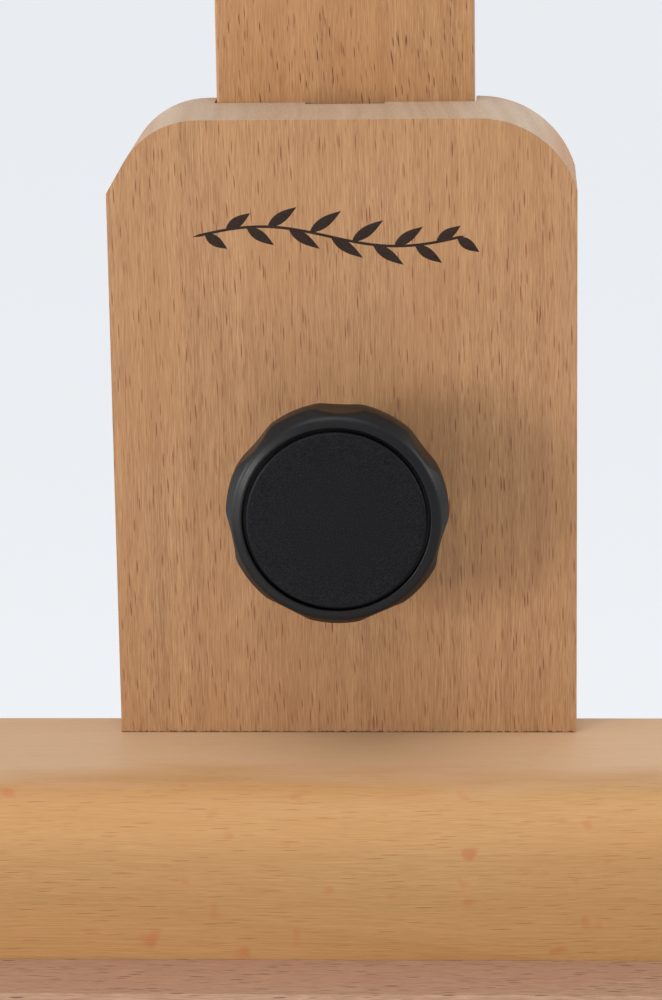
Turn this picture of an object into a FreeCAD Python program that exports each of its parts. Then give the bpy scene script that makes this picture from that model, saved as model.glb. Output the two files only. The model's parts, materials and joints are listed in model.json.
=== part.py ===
"""Studio H-frame easel in oiled beech: base, tilting frame, sliding mast, canvas clamp and canvas ledge.

Units are millimetres. +Z is up, +X is the painter's right and the painter stands on the -Y side.
The origin lies on the floor, under the middle of the base. Each wooden, steel, brass, rubber and
plastic piece is one solid, or one group of equal solids, in its own STEP file.
"""

import FreeCAD, Part
import math
import os

Vector = FreeCAD.Vector

# ---------------------------------------------------------------- driving dimensions
# base
foot_length = 620.0          # along Y
foot_width = 45.0
foot_height = 65.0
foot_inner_x = 214.0
pad_height = 10.0
pad_radius = 19.0
pad_inset = 45.0             # pad centre from the end of the foot
base_rail_thick = 28.0
base_rail_height = 50.0
base_rail_lift = 8.0         # above the underside of the foot
base_rail_inset = 10.0       # from the end of the foot

# tilting frame
frame_y = -110.0             # middle plane of the uprights
upright_x = 195.0
upright_width = 36.0
frame_depth = 56.0
upright_top = 1330.0
pivot_height = 58.0
pivot_radius = 5.0
lower_rail_z, lower_rail_height, lower_rail_depth = 150.0, 60.0, 32.0
middle_rail_z, middle_rail_height = 720.0, 65.0
upper_rail_z, upper_rail_height = 1250.0, 70.0

# mast
mast_width = 61.6
mast_thick = 28.0
mast_bottom = 400.0
mast_length = 1500.0
mast_play = 0.5              # clearance each way in the rails

# canvas clamp on the mast
clamp_base_z = 1680.0        # top face of the clamp bar
block_width = 110.0
block_height = 149.0         # above the clamp bar
block_front_wall = 27.8      # in front of the mast
block_channel = 9.0          # depth of the channel that straddles the mast
block_corner_radius = 24.0   # right corner; it meets the side at a blunt angle
block_corner_reach = 23.0    # how far the right corner runs along the top
block_left_radius = 20.0     # left corner; its arc runs on into a straight chamfer
block_left_reach = 21.5
block_left_turn = 59.7       # degrees of arc before the chamfer
groove_width, groove_depth = 19.0, 3.0
bar_length = 280.0
bar_depth = 61.2
bar_height = 62.0
bar_rebate = 11.2            # the block is cut back this far to house the bar
bar_nose_radius = 13.0
clamp_lip_drop = 39.0        # lip's top edge below the bar's top face
clamp_lip_height = 50.0
clamp_lip_thick = 22.4
clamp_cheek_width = 18.5
clamp_rear_thick = 16.0
clamp_knob_height = 61.6     # knob axis above the clamp bar
clamp_knob_x = -0.6          # the hole for the screw was drilled a little to the left

# canvas ledge
shelf_top = 560.0
shelf_thick = 20.0
shelf_depth = 110.0
shelf_length = 560.0
shelf_gap = 2.0              # between the shelf and the frame
ledge_lip_thick, ledge_lip_height, ledge_lip_proud = 16.0, 36.0, 13.0
back_board_length, back_board_height, back_board_thick = 499.0, 90.0, 22.0
carriage_play = 0.5
tray_cheek_width = 36.0
rear_bar_height, rear_bar_thick = 60.0, 18.0

# rear stays
stay_pivot_y = 245.0
stay_width, stay_thick = 35.0, 20.0
stay_gap = 225.0             # bare steel between the lock stud and the end of the wood
tilt_stud_z = 1180.0
plate_width, plate_thick = 28.0, 3.0
plate_beyond_stud, plate_length = 24.0, 315.0
slot_width, slot_before, slot_after = 12.0, 10.0, 88.0
plate_stand_off = 0.3

# screw clamps
thread_radius = 4.0
thread_play = 0.05
insert_radius, insert_length = 7.0, 16.0
knob_radius = 25.8
knob_lobes = 7
knob_valley_turn = 88.0      # degrees, direction of the first valley
knob_valley_depth = 1.2
knob_valley_radius = 28.0    # wide and nearly flat; it meets the rim at blunt edges
knob_height = 33.2
knob_head_bottom = 20.4
knob_hub_bottom = 2.0
knob_hub_radius = 12.0
knob_neck_radius = 15.5
knob_recess_radius, knob_recess_depth = 21.6, 2.0
cap_radius, cap_height = 20.7, 2.8
shoe_width, shoe_height, shoe_thick = 18.4, 38.0, 3.5
shoe_pocket_depth = 6.7
pocket_play = 0.3

# ---------------------------------------------------------------- derived places
foot_mid_x = foot_inner_x + foot_width / 2
foot_outer_x = foot_inner_x + foot_width
upright_outer_x = upright_x + upright_width / 2
upright_inner_x = upright_x - upright_width / 2
frame_front_y = frame_y - frame_depth / 2
frame_rear_y = frame_y + frame_depth / 2
mast_front_y = frame_y - mast_thick / 2
mast_rear_y = frame_y + mast_thick / 2
block_face_y = mast_front_y - block_front_wall
SIDES = {"left": -1, "right": 1}
X_AXIS, Y_AXIS, Z_AXIS = Vector(1, 0, 0), Vector(0, 1, 0), Vector(0, 0, 1)


# ---------------------------------------------------------------- helpers
def box(x0, x1, y0, y1, z0, z1):
    """A block between two corners, given low and high on each axis in any order."""
    x0, x1 = sorted((x0, x1))
    y0, y1 = sorted((y0, y1))
    z0, z1 = sorted((z0, z1))
    return Part.makeBox(x1 - x0, y1 - y0, z1 - z0, Vector(x0, y0, z0))


def rod(start, direction, radius, length):
    """A plain round bar."""
    return Part.makeCylinder(radius, length, start, direction)


def turned(points, start, direction):
    """A solid of revolution from (radius, height) points, set along a direction."""
    outline = Part.makePolygon([Vector(r, 0, h) for r, h in points + points[:1]])
    solid = Part.Face(outline).revolve(Vector(0, 0, 0), Z_AXIS, 360)
    return placed(solid, start, direction)


def placed(shape, start, direction):
    """Move a shape built along +Z so that it starts at a point and runs along a direction."""
    copy = shape.copy()
    copy.Placement = FreeCAD.Placement(start, FreeCAD.Rotation(Z_AXIS, direction)).multiply(copy.Placement)
    return copy


def chamfered(solid, size, test):
    """Chamfer the edges whose middle point passes the test."""
    edges = [edge for edge in solid.Edges if test(edge.CenterOfMass, edge)]
    return solid.makeChamfer(size, edges)


def eased(solid, size=1.2):
    """Take the sharpness off the long edges of a sawn piece."""
    longest = max(edge.Length for edge in solid.Edges)
    return solid.makeChamfer(size, [edge for edge in solid.Edges if edge.Length > 0.6 * longest])


def save(name, *solids):
    """Write one node, which is one solid or a group of equal solids."""
    shape = solids[0] if len(solids) == 1 else Part.makeCompound(list(solids))
    shape.exportStep(f"parts/{name}.step")


def flat_screw(start, direction, length, radius=2.2, head_radius=4.4):
    """A countersunk wood screw, head flush at its start."""
    outline = [(0, 0), (head_radius, 0), (head_radius, 0.5), (radius, 3.0), (radius, length - 5), (0, length)]
    return turned(outline, start, direction)


def sunk_bolt(start, direction, length, radius=4.0, head_radius=7.0, head_height=5.0, sink=2.0):
    """A cap head bolt below the surface of the wood, and the stepped hole that takes it."""
    outline = [(0, sink), (head_radius, sink), (head_radius, sink + head_height),
               (radius, sink + head_height), (radius, length), (0, length)]
    hole = turned([(0, 0)] + [(head_radius, 0)] + outline[2:], start, direction)
    return turned(outline, start, direction), hole


def hex_prism(start, direction, across, height):
    """A nut blank or bolt head."""
    corner = across / math.sqrt(3)
    corners = [Vector(corner * math.cos(math.radians(60 * i)), corner * math.sin(math.radians(60 * i)), 0)
               for i in range(7)]
    return placed(Part.Face(Part.makePolygon(corners)).extrude(Vector(0, 0, height)), start, direction)


# ---------------------------------------------------------------- hand knob and screw clamp
def knob_solid(bore_depth):
    """Seven-lobed knob along +Z from its seat at height 0, with a recess for the cap and a blind bore."""
    head = [(0, knob_hub_bottom), (knob_hub_radius, knob_hub_bottom), (knob_neck_radius, knob_head_bottom - 3),
            (knob_neck_radius + 2.4, knob_head_bottom - 0.8), (knob_radius - 1.8, knob_head_bottom),
            (knob_radius - 0.5, knob_head_bottom + 1.4), (knob_radius, knob_head_bottom + 5.5),
            (knob_radius - 0.3, knob_height - 3.2), (knob_radius - 1.4, knob_height - 1.2),
            (knob_radius - 3.2, knob_height), (0, knob_height)]
    knob = turned(head, Vector(0, 0, 0), Z_AXIS)
    for lobe in range(knob_lobes):
        turn = math.radians(knob_valley_turn + 360.0 / knob_lobes * lobe)
        reach = knob_radius - knob_valley_depth + knob_valley_radius
        start = Vector(reach * math.cos(turn), reach * math.sin(turn), 0)
        knob = knob.cut(rod(start, Z_AXIS, knob_valley_radius, knob_height + 1))
    return knob.cut(rod(Vector(0, 0, 0), Z_AXIS, thread_radius + thread_play, bore_depth))


def capped_knob(name, seat, outward, bore_depth=20.0):
    """Knob with a press-in cap; the cap leaves a thin ring groove round itself."""
    recess_bottom = knob_height - knob_recess_depth
    knob = knob_solid(bore_depth).cut(rod(Vector(0, 0, recess_bottom), Z_AXIS, knob_recess_radius,
                                          knob_recess_depth + 1))
    cap = [(0, recess_bottom), (cap_radius, recess_bottom), (cap_radius, recess_bottom + cap_height - 0.6),
           (cap_radius - 0.6, recess_bottom + cap_height), (0, recess_bottom + cap_height)]
    save(f"{name}_knob", placed(knob, seat, outward))
    save(f"{name}_cap", turned(cap, seat, outward))


def screw_clamp(name, seat, outward, wall):
    """Knob, stud, brass insert and pressure shoe in a wall; returns the insert and the cuts for the wall.

    seat is where the screw's axis leaves the wall, and wall is the distance from there to the pressed face.
    """
    sleeve = min(insert_length, wall - shoe_pocket_depth - 0.3)
    shoe = Part.makeBox(shoe_width, shoe_height, shoe_thick, Vector(-shoe_width / 2, -shoe_height / 2, -wall))
    pocket = Part.makeBox(shoe_width + 2 * pocket_play, shoe_height + 2 * pocket_play, shoe_pocket_depth + 0.3,
                          Vector(-shoe_width / 2 - pocket_play, -shoe_height / 2 - pocket_play, -wall - 0.3))
    stud_length = wall - shoe_thick + 20.0
    save(f"{name}_shoe", placed(shoe, seat, outward))
    save(f"{name}_stud", rod(seat + outward * (shoe_thick - wall), outward, thread_radius, stud_length))
    capped_knob(name, seat, outward, bore_depth=20.0)
    insert = rod(seat - outward * sleeve, outward, insert_radius, sleeve)
    bore = rod(seat - outward * wall, outward, thread_radius + thread_play, wall + 1)
    clearance = rod(seat - outward * wall, outward, thread_radius + 0.5, wall)
    cuts = placed(pocket, seat, outward).fuse(clearance).fuse(insert)
    return insert.cut(bore), cuts


# ---------------------------------------------------------------- base
def build_base():
    """Two feet, two cross rails, rubber pads and the bolts on which the frame and the stays turn."""
    half = foot_length / 2
    top = pad_height + foot_height
    bolts, pads, pivots, washers, nuts = [], [], [], [], []
    rail_z = pad_height + base_rail_lift
    rail_ys = {"front": -half + base_rail_inset, "rear": half - base_rail_inset - base_rail_thick}
    for side, sign in SIDES.items():
        foot = box(sign * foot_inner_x, sign * foot_outer_x, -half, half, pad_height, top)
        foot = chamfered(foot, 18.0, lambda mid, edge: abs(mid.y) > half - 1 and mid.z > top - 1)
        foot = eased(foot, 1.5)
        for rail_y in rail_ys.values():
            start = Vector(sign * foot_outer_x, rail_y + base_rail_thick / 2, rail_z + base_rail_height / 2)
            bolt, hole = sunk_bolt(start, X_AXIS * -sign, 100.0)
            bolts.append(bolt)
            foot = foot.cut(hole)
        for y in (-half + pad_inset, half - pad_inset):
            pads.append(turned([(0, 0), (pad_radius - 2, 0), (pad_radius, 2), (pad_radius, pad_height),
                                (0, pad_height)], Vector(sign * foot_mid_x, y, 0), Z_AXIS))
        for y, far_x in ((frame_y, upright_inner_x), (stay_pivot_y, upright_outer_x + plate_stand_off - stay_thick)):
            centre = Vector(sign * foot_outer_x, y, pivot_height)
            shank = foot_outer_x - far_x + 11.0
            pivot = rod(centre, X_AXIS * -sign, pivot_radius, shank)
            pivots.append(pivot.fuse(hex_prism(centre, X_AXIS * sign, 17.0, 6.4)))
            nut = hex_prism(Vector(sign * (far_x - 1.0), y, pivot_height), X_AXIS * -sign, 17.0, 8.0)
            nuts.append(nut.cut(rod(centre, X_AXIS * -sign, pivot_radius, shank)))
            gap = 0.9 if y == frame_y else 0.6
            washer = rod(Vector(sign * (foot_inner_x - gap), y, pivot_height), X_AXIS * sign, 11.0, gap)
            washers.append(washer.cut(rod(centre, X_AXIS * -sign, pivot_radius, shank)))
            foot = foot.cut(rod(centre, X_AXIS * -sign, pivot_radius, foot_width))
        save(f"{side}_foot", foot)
    for place, rail_y in rail_ys.items():
        rail = box(-foot_inner_x, foot_inner_x, rail_y, rail_y + base_rail_thick, rail_z, rail_z + base_rail_height)
        rail = eased(rail)
        for bolt in bolts:
            rail = rail.cut(bolt)
        save(f"base_{place}_rail", rail)
    save("base_bolts", *bolts)
    save("foot_pads", *pads)
    save("pivot_bolts", *pivots)
    save("pivot_washers", *washers)
    save("pivot_nuts", *nuts)


# ---------------------------------------------------------------- frame
def frame_rail(z, height, depth):
    """A plain cross rail between the uprights."""
    return eased(box(-upright_inner_x, upright_inner_x, frame_y - depth / 2, frame_y + depth / 2, z, z + height))


def build_frame():
    """Uprights joined by three rails; the mast runs through the upper two."""
    mortise = box(-mast_width / 2 - mast_play, mast_width / 2 + mast_play, mast_front_y - mast_play,
                  mast_rear_y + mast_play, middle_rail_z - 1, upright_top)
    rails = {"lower_rail": frame_rail(lower_rail_z, lower_rail_height, lower_rail_depth),
             "middle_rail": frame_rail(middle_rail_z, middle_rail_height, frame_depth).cut(mortise),
             "upper_rail": frame_rail(upper_rail_z, upper_rail_height, frame_depth).cut(mortise)}
    levels = [(lower_rail_z, lower_rail_height), (middle_rail_z, middle_rail_height),
              (upper_rail_z, upper_rail_height)]
    lock_seat = Vector(0, frame_rear_y, upper_rail_z + upper_rail_height / 2)
    insert, cuts = screw_clamp("mast_lock", lock_seat, Y_AXIS, frame_rear_y - mast_rear_y)
    save("mast_lock_insert", insert)
    rails["upper_rail"] = rails["upper_rail"].cut(cuts)
    bolts, studs = [], []
    for side, sign in SIDES.items():
        post = box(sign * upright_inner_x, sign * upright_outer_x, frame_front_y, frame_rear_y,
                   pivot_height, upright_top)
        post = chamfered(post, 8.0, lambda mid, edge: mid.z > upright_top - 1 and abs(mid.y - frame_y) > 27)
        post = eased(post, 1.5)
        heel = rod(Vector(sign * upright_inner_x, frame_y, pivot_height), X_AXIS * sign, frame_depth / 2, upright_width)
        post = post.fuse(heel).removeSplitter()
        pivot_hole = rod(Vector(sign * upright_inner_x, frame_y, pivot_height), X_AXIS * sign,
                         pivot_radius + thread_play, upright_width)
        post = post.cut(pivot_hole)
        for z, height in levels:
            for offset in (0.28, 0.72):
                start = Vector(sign * upright_outer_x, frame_y, z + height * offset)
                bolt, hole = sunk_bolt(start, X_AXIS * -sign, 105.0)
                bolts.append(bolt)
                post = post.cut(hole)
        stud = rod(Vector(sign * (upright_outer_x - 30), frame_y, tilt_stud_z), X_AXIS * sign, thread_radius, 52.0)
        studs.append(stud)
        save(f"{side}_upright", post.cut(stud))
    for name, rail in rails.items():
        for bolt in bolts:
            rail = rail.cut(bolt)
        save(name, rail)
    save("rail_bolts", *bolts)
    save("tilt_studs", *studs)
    for side, sign in SIDES.items():
        seat_x = upright_outer_x + plate_stand_off + plate_thick + 0.2 - knob_hub_bottom
        knob = knob_solid(28.0)
        save(f"{side}_tilt_knob", placed(knob, Vector(sign * seat_x, frame_y, tilt_stud_z), X_AXIS * sign))


# ---------------------------------------------------------------- mast
def build_mast():
    """One straight board with eased edges and a chamfered top."""
    mast = box(-mast_width / 2, mast_width / 2, mast_front_y, mast_rear_y, mast_bottom, mast_bottom + mast_length)
    top = mast_bottom + mast_length
    mast = chamfered(mast, 3.0, lambda mid, edge: mid.z > top - 0.1)
    save("mast", mast)


# ---------------------------------------------------------------- canvas clamp
def block_outline():
    """Front outline of the clamp block: square at the foot, rounded at the top corners.

    The right corner is one arc that meets the side at a blunt angle; the left one runs out straight.
    """
    half, top = block_width / 2, clamp_base_z + block_height
    bottom = clamp_base_z - clamp_lip_drop - clamp_lip_height

    def on_arc(sign, radius, reach, turn):
        return Vector(sign * (half - reach + radius * math.sin(turn)), block_face_y,
                      top - radius + radius * math.cos(turn))

    def arc(sign, radius, reach, end):
        return [on_arc(sign, radius, reach, end * share) for share in (0, 0.5, 1)]

    right = arc(1, block_corner_radius, block_corner_reach, math.asin(block_corner_reach / block_corner_radius))
    left = arc(-1, block_left_radius, block_left_reach, math.radians(block_left_turn))
    left_end = Vector(-half, block_face_y, left[2].z - (half + left[2].x) * math.tan(math.radians(block_left_turn)))
    edges = [Part.LineSegment(Vector(-half, block_face_y, bottom), Vector(half, block_face_y, bottom)),
             Part.LineSegment(Vector(half, block_face_y, bottom), right[2]),
             Part.Arc(right[2], right[1], right[0]),
             Part.LineSegment(right[0], left[0]),
             Part.Arc(left[0], left[1], left[2]),
             Part.LineSegment(left[2], left_end),
             Part.LineSegment(left_end, Vector(-half, block_face_y, bottom))]
    return Part.Wire([edge.toShape() for edge in edges])


def bar_outline(x):
    """Section of the clamp bar: square at the back, a quarter round along the upper front edge."""
    front, back = block_face_y + bar_rebate - bar_depth, block_face_y + bar_rebate
    top, bottom, r = clamp_base_z, clamp_base_z - bar_height, bar_nose_radius
    slope = math.sqrt(0.5)
    nose = Part.Arc(Vector(x, front + r, top), Vector(x, front + r - r * slope, top - r + r * slope),
                    Vector(x, front, top - r))
    edges = [Part.LineSegment(Vector(x, back, top), Vector(x, front + r, top)), nose,
             Part.LineSegment(Vector(x, front, top - r), Vector(x, front, bottom)),
             Part.LineSegment(Vector(x, front, bottom), Vector(x, back, bottom)),
             Part.LineSegment(Vector(x, back, bottom), Vector(x, back, top))]
    return Part.Wire([edge.toShape() for edge in edges])


def build_clamp():
    """Block, bar and lip in front of the mast, and the cheeks and plate that hold them round it."""
    full_depth = block_front_wall + block_channel
    bar_bottom, lip_bottom = clamp_base_z - bar_height, clamp_base_z - clamp_lip_drop - clamp_lip_height
    block = Part.Face(block_outline()).extrude(Vector(0, full_depth, 0))
    channel = box(-mast_width / 2 - mast_play, mast_width / 2 + mast_play, mast_front_y - 0.2,
                  mast_front_y + full_depth, lip_bottom - 1, clamp_base_z + block_height + 1)
    groove = box(-groove_width / 2, groove_width / 2, mast_front_y - groove_depth, mast_front_y,
                 lip_bottom - 1, clamp_base_z + block_height + 1)
    rebate = box(-block_width, block_width, block_face_y - 1, block_face_y + bar_rebate, lip_bottom - 1, clamp_base_z)
    seat = Vector(clamp_knob_x, block_face_y, clamp_base_z + clamp_knob_height)
    insert, cuts = screw_clamp("top_clamp", seat, Y_AXIS * -1, block_front_wall)
    block = block.cut(channel).cut(groove).cut(rebate).cut(cuts)
    save("clamp_insert", insert)

    bar = Part.Face(bar_outline(-bar_length / 2)).extrude(Vector(bar_length, 0, 0))
    bar_front = block_face_y + bar_rebate - bar_depth
    lip_top = clamp_base_z - clamp_lip_drop
    lip = box(-bar_length / 2, bar_length / 2, bar_front - clamp_lip_thick, bar_front, lip_bottom, lip_top)
    lip = lip.makeChamfer(1.0, [edge for edge in lip.Edges if abs(edge.CenterOfMass.y - bar_front) > 1])
    screws = [flat_screw(Vector(x, bar_front - clamp_lip_thick, (lip_top + bar_bottom) / 2), Y_AXIS, 42.0)
              for x in (-115.0, -40.0, 40.0, 115.0)]
    screws += [flat_screw(Vector(x, mast_front_y + block_channel, z), Y_AXIS * -1, 42.0)
               for x in (-43.0, 43.0) for z in (clamp_base_z - 18.0, clamp_base_z - 46.0)]

    side_in, side_out = mast_width / 2 + mast_play, mast_width / 2 + mast_play + clamp_cheek_width
    cheek_front, cheek_rear = mast_front_y + block_channel, mast_rear_y + 0.8
    cheek_top, plate_top = clamp_base_z + 112.0, clamp_base_z + 100.0
    bolts = []
    plate = eased(box(-side_out, side_out, cheek_rear, cheek_rear + clamp_rear_thick, lip_bottom + 25, plate_top))
    for side, sign in SIDES.items():
        cheek = eased(box(sign * side_in, sign * side_out, cheek_front, cheek_rear, lip_bottom, cheek_top), 0.8)
        for z in (clamp_base_z + 78.0, clamp_base_z + 16.0):
            start = Vector(sign * (side_in + side_out) / 2, cheek_rear + clamp_rear_thick, z)
            bolt, hole = sunk_bolt(start, Y_AXIS * -1, 58.0, radius=3.0, head_radius=5.0, head_height=5.0, sink=0.5)
            bolts.append(bolt)
            plate, cheek, block = plate.cut(hole), cheek.cut(hole), block.cut(bolt)
        for screw in screws[4:]:
            cheek = cheek.cut(screw)
        save(f"{side}_clamp_cheek", cheek)
    for screw in screws:
        block, bar, lip = block.cut(screw), bar.cut(screw), lip.cut(screw)
    for name, shape in (("clamp_block", block), ("clamp_bar", bar), ("clamp_lip", lip), ("clamp_rear_plate", plate)):
        save(name, shape)
    save("clamp_rear_bolts", *bolts)
    save("clamp_screws", *screws)


# ---------------------------------------------------------------- canvas ledge
def build_ledge():
    """Shelf with a lip on a four-sided carriage that slides on the uprights."""
    shelf_bottom = shelf_top - shelf_thick
    board_bottom = shelf_bottom - back_board_height
    rear = frame_front_y - shelf_gap
    front = rear - shelf_depth
    half = shelf_length / 2
    shelf = box(-half, half, front, rear, shelf_bottom, shelf_top)
    lip_top = shelf_top + ledge_lip_proud
    lip = box(-half, half, front - ledge_lip_thick, front, lip_top - ledge_lip_height, lip_top)
    lip = lip.makeFillet(4.0, [edge for edge in lip.Edges if edge.Length > half and edge.CenterOfMass.z > shelf_top])
    board_rear = frame_front_y - carriage_play
    board_front = board_rear - back_board_thick
    board = eased(box(-back_board_length / 2, back_board_length / 2, board_front, board_rear,
                      board_bottom, shelf_bottom))
    carriage_rear = frame_rear_y + carriage_play
    middle = (board_bottom + shelf_bottom) / 2
    rear_bar = eased(box(-back_board_length / 2, back_board_length / 2, carriage_rear,
                         carriage_rear + rear_bar_thick, middle - rear_bar_height / 2, middle + rear_bar_height / 2))
    screws = [flat_screw(Vector(x, (board_front + board_rear) / 2, shelf_top), Z_AXIS * -1, 50.0)
              for x in (-220.0, -75.0, 75.0, 220.0)]
    screws += [flat_screw(Vector(x, front - ledge_lip_thick, shelf_bottom + shelf_thick / 2), Y_AXIS, 45.0)
               for x in (-250.0, -85.0, 85.0, 250.0)]
    cheek_in = upright_outer_x + carriage_play
    cheek_out = cheek_in + tray_cheek_width
    bolts, inserts = [], []
    for side, sign in SIDES.items():
        cheek = eased(box(sign * cheek_in, sign * cheek_out, board_rear, carriage_rear, board_bottom, shelf_bottom), 1.0)
        seat = Vector(sign * cheek_out, frame_y, middle)
        insert, cuts = screw_clamp(f"{side}_tray", seat, X_AXIS * sign, cheek_out - upright_outer_x)
        inserts.append(insert)
        cheek = cheek.cut(cuts)
        for z in (middle - 22.0, middle + 22.0):
            start = Vector(sign * (cheek_in + tray_cheek_width / 2), board_front, z)
            length = carriage_rear + rear_bar_thick - board_front - 3.0
            bolt, hole = sunk_bolt(start, Y_AXIS, length, radius=3.0, head_radius=6.0, head_height=5.0, sink=1.0)
            bolts.append(bolt)
            board, cheek, rear_bar = board.cut(hole), cheek.cut(bolt), rear_bar.cut(bolt)
        save(f"{side}_tray_cheek", cheek)
    for screw in screws:
        shelf, board, lip = shelf.cut(screw), board.cut(screw), lip.cut(screw)
    for name, shape in (("tray_shelf", shelf), ("tray_lip", lip), ("tray_back_board", board),
                        ("tray_rear_bar", rear_bar)):
        save(name, shape)
    save("tray_bolts", *bolts)
    save("tray_inserts", *inserts)
    save("tray_screws", *screws)


# ---------------------------------------------------------------- rear stays
def build_stays():
    """Wooden stays hinged on the feet, each with a slotted steel plate locked on the frame's stud."""
    rise, run = tilt_stud_z - pivot_height, stay_pivot_y - frame_y
    span = math.hypot(rise, run)
    lean = math.degrees(math.atan2(run, rise))
    for side, sign in SIDES.items():
        face = plate_stand_off + upright_outer_x
        inner = face - stay_thick
        # built upright on the pivot, then leaned forward to the stud
        wood_top = span - stay_gap
        wood = box(sign * inner, sign * face, -stay_width / 2, stay_width / 2, 0, wood_top)
        heel = rod(Vector(sign * inner, 0, 0), X_AXIS * sign, stay_width / 2, stay_thick)
        wood = wood.fuse(heel).removeSplitter()
        wood = wood.cut(rod(Vector(sign * inner, 0, 0), X_AXIS * sign, pivot_radius + thread_play, stay_thick))
        plate_top = span + plate_beyond_stud
        plate = box(sign * face, sign * (face + plate_thick), -plate_width / 2, plate_width / 2,
                    plate_top - plate_length, plate_top)
        slot_top, slot_bottom = span + slot_before - slot_width / 2, span - slot_after + slot_width / 2
        slot = box(sign * (face - 1), sign * (face + plate_thick + 1), -slot_width / 2, slot_width / 2,
                   slot_bottom, slot_top)
        for z in (slot_bottom, slot_top):
            slot = slot.fuse(rod(Vector(sign * (face - 1), 0, z), X_AXIS * sign, slot_width / 2, plate_thick + 2))
        plate = plate.makeFillet(10.0, [edge for edge in plate.Edges if edge.Length < plate_thick + 0.1])
        plate = plate.cut(slot)
        screws = [flat_screw(Vector(sign * (face + plate_thick), 0, wood_top - drop), X_AXIS * -sign, 17.0)
                  for drop in (16.0, 38.0, 60.0)]
        for screw in screws:
            wood, plate = wood.cut(screw), plate.cut(screw)
        for name, solids in ((f"{side}_stay", [wood]), (f"{side}_stay_plate", [plate]),
                             (f"{side}_stay_screws", screws)):
            lying = []
            for solid in solids:
                turned_solid = solid.copy()
                turned_solid.rotate(Vector(0, 0, 0), X_AXIS, lean)
                turned_solid.translate(Vector(0, stay_pivot_y, pivot_height))
                lying.append(turned_solid)
            save(name, *lying)


def main():
    """Write every sub-part."""
    os.makedirs("parts", exist_ok=True)
    build_base()
    build_frame()
    build_mast()
    build_clamp()
    build_ledge()
    build_stays()


main()
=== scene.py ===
"""Looks of a studio H-frame easel in oiled beech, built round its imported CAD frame.

Every piece is in metres in the CAD frame: +Z up, +X to the painter's right, the painter on the -Y side.
Boards, plates, inserts, shoes and pivot hardware are eased copies of their CAD solids, and the stays'
screws are the solids themselves. Knobs, caps, studs, other screws and bolts, pads and the burned ornament
are surfaces computed with numpy.
"""
import json
import logging
import math
from dataclasses import dataclass, field, replace
from enum import Enum
from typing import Callable

import bmesh
import bpy
import numpy as np
from mathutils import Matrix, Vector


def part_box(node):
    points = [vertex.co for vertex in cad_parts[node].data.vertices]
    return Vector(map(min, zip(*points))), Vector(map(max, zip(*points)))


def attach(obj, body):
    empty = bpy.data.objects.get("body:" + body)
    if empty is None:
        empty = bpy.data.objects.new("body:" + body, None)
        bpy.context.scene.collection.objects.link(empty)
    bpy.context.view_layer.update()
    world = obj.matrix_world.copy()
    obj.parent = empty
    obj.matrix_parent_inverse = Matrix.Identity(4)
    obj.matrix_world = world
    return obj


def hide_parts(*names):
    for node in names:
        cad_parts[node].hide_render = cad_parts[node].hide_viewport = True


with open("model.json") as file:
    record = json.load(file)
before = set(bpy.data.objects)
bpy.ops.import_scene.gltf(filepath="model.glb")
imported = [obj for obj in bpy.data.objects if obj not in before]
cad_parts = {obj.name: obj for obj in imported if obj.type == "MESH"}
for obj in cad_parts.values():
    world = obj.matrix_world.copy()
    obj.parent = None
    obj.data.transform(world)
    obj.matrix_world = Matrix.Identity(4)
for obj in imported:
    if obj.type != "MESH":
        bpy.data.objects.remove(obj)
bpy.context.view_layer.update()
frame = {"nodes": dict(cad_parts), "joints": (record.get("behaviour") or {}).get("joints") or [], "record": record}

MM = 0.001
log = logging.getLogger("easel")

Tree = bpy.types.NodeTree
Socket = bpy.types.NodeSocket
Material = bpy.types.Material
Piece = bpy.types.Object


def body_of(node: str) -> str:
    """CAD body that a node belongs to."""
    bodies = frame["record"]["behaviour"]["bodies"]
    return next(body for body, nodes in bodies.items() if node in nodes)


def joint_named(name: str) -> dict:
    """Joint of the record by name."""
    return next(joint for joint in frame["joints"] if joint["name"] == name)


def box_of(node: str) -> tuple[np.ndarray, np.ndarray]:
    """Lowest and highest corner of a node, as arrays."""
    low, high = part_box(node)
    return np.array(low), np.array(high)


def merged_copy(node: str) -> bmesh.types.BMesh:
    """Copy of a CAD node's triangles with shared corners merged and flat areas made whole.

    Args:
        node: the CAD node's name.

    Returns:
        A new bmesh, which the caller frees.
    """
    mesh = bmesh.new()
    mesh.from_mesh(frame["nodes"][node].data)
    bmesh.ops.remove_doubles(mesh, verts=mesh.verts, dist=0.005 * MM)
    bmesh.ops.dissolve_limit(mesh, angle_limit=math.radians(0.4), verts=mesh.verts, edges=mesh.edges)
    return mesh


def separate_solids(node: str) -> list[np.ndarray]:
    """Corner points of each loose solid in a node.

    Labels spread along the triangles' edges until every solid has one label, the lowest of its corners.

    Args:
        node: the CAD node's name.

    Returns:
        One array of points for each solid.
    """
    data = frame["nodes"][node].data
    points = np.empty(len(data.vertices) * 3)
    data.vertices.foreach_get("co", points)
    points = points.reshape(-1, 3)
    corners = np.empty(len(data.loops), dtype=np.int64)
    data.loops.foreach_get("vertex_index", corners)
    unique, back = np.unique(np.round(points / (0.005 * MM)).astype(np.int64), axis=0, return_inverse=True)
    faces = back.reshape(-1)[corners].reshape(-1, 3)
    label = np.arange(len(unique))
    while True:
        lowest = label[faces].min(axis=1)
        spread = label.copy()
        np.minimum.at(spread, faces.reshape(-1), np.repeat(lowest, 3))
        if np.array_equal(spread, label):
            break
        label = spread
    places = unique * (0.005 * MM)
    return [places[label == one] for one in np.unique(label)]


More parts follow.
